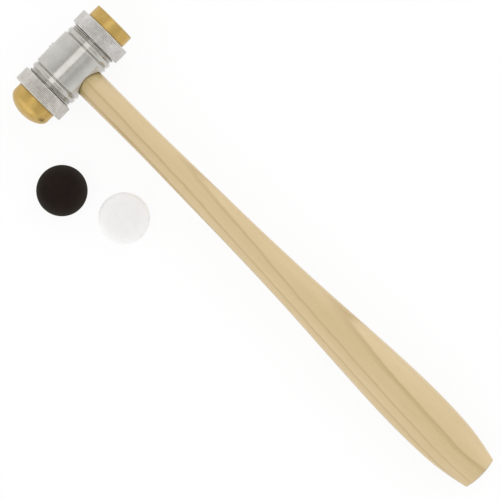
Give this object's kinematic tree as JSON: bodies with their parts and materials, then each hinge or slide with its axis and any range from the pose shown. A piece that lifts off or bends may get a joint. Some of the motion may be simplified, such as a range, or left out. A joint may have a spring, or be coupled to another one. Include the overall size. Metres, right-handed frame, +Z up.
{
  "type": "interchangeable head hammer",
  "caption": "Small hammer with a turned wooden handle and a steel head whose knurled screw caps hold brass striking faces; spare fibre and nylon faces lie beside it.",
  "frame": {"origin": "on the surface that the hammer lies on, in the middle of the footprint of the hammer and its two spare faces", "axes": "+X along the handle from the head to the butt, +Y along the head from the domed face to the flat face, +Z up from the surface"},
  "size_m": [0.2408, 0.0722, 0.0237],
  "materials": {
    "plated_steel": "polished nickel plate with faint turning marks",
    "knurled_steel": "satin plate on a fine straight knurl",
    "brass": "turned, satin",
    "pale_wood": "clear satin lacquer over long straight grain",
    "screw_steel": "bright zinc, turned",
    "black_fibre": "matt, faint turning marks",
    "white_nylon": "satin, slightly waxy"
  },
  "bodies": {
    "hammer": {"head_body": "plated_steel", "handle": "pale_wood", "handle_screw": "screw_steel"},
    "flat_face": {"brass_flat_face": "brass"},
    "flat_screw_cap": {"flat_cap": "knurled_steel"},
    "domed_face": {"brass_domed_face": "brass"},
    "dome_screw_cap": {"dome_cap": "knurled_steel"},
    "black_face": {"black_fibre_face": "black_fibre"},
    "white_face": {"white_nylon_face": "white_nylon"}
  },
  "joints": [
    {"name": "flat_face_travel", "type": "slide", "parent": "hammer", "child": "flat_face", "axis": [0, 1, 0], "range_m": [0, 0.004]},
    {"name": "flat_cap_turn", "type": "hinge", "parent": "flat_face", "child": "flat_screw_cap", "pos_m": [-0.10859, 0.02772, 0.01185], "axis": [0, 1, 0], "range_deg": [0, 1152]},
    {"name": "domed_face_travel", "type": "slide", "parent": "hammer", "child": "domed_face", "axis": [0, -1, 0], "range_m": [0, 0.004]},
    {"name": "dome_cap_turn", "type": "hinge", "parent": "domed_face", "child": "dome_screw_cap", "pos_m": [-0.10859, -0.00398, 0.01185], "axis": [0, -1, 0], "range_deg": [0, 1152]},
    {"name": "black_face_lift", "type": "slide", "parent": "hammer", "child": "black_face", "axis": [0, 0, 1], "range_m": [0, 0.04]},
    {"name": "white_face_lift", "type": "slide", "parent": "hammer", "child": "white_face", "axis": [0, 0, 1], "range_m": [0, 0.04]}
  ],
  "couplings": [
    {"joint": "flat_cap_turn", "follows": "flat_face_travel", "rad_per_m": 5026.5},
    {"joint": "dome_cap_turn", "follows": "domed_face_travel", "rad_per_m": 5026.5}
  ]
}
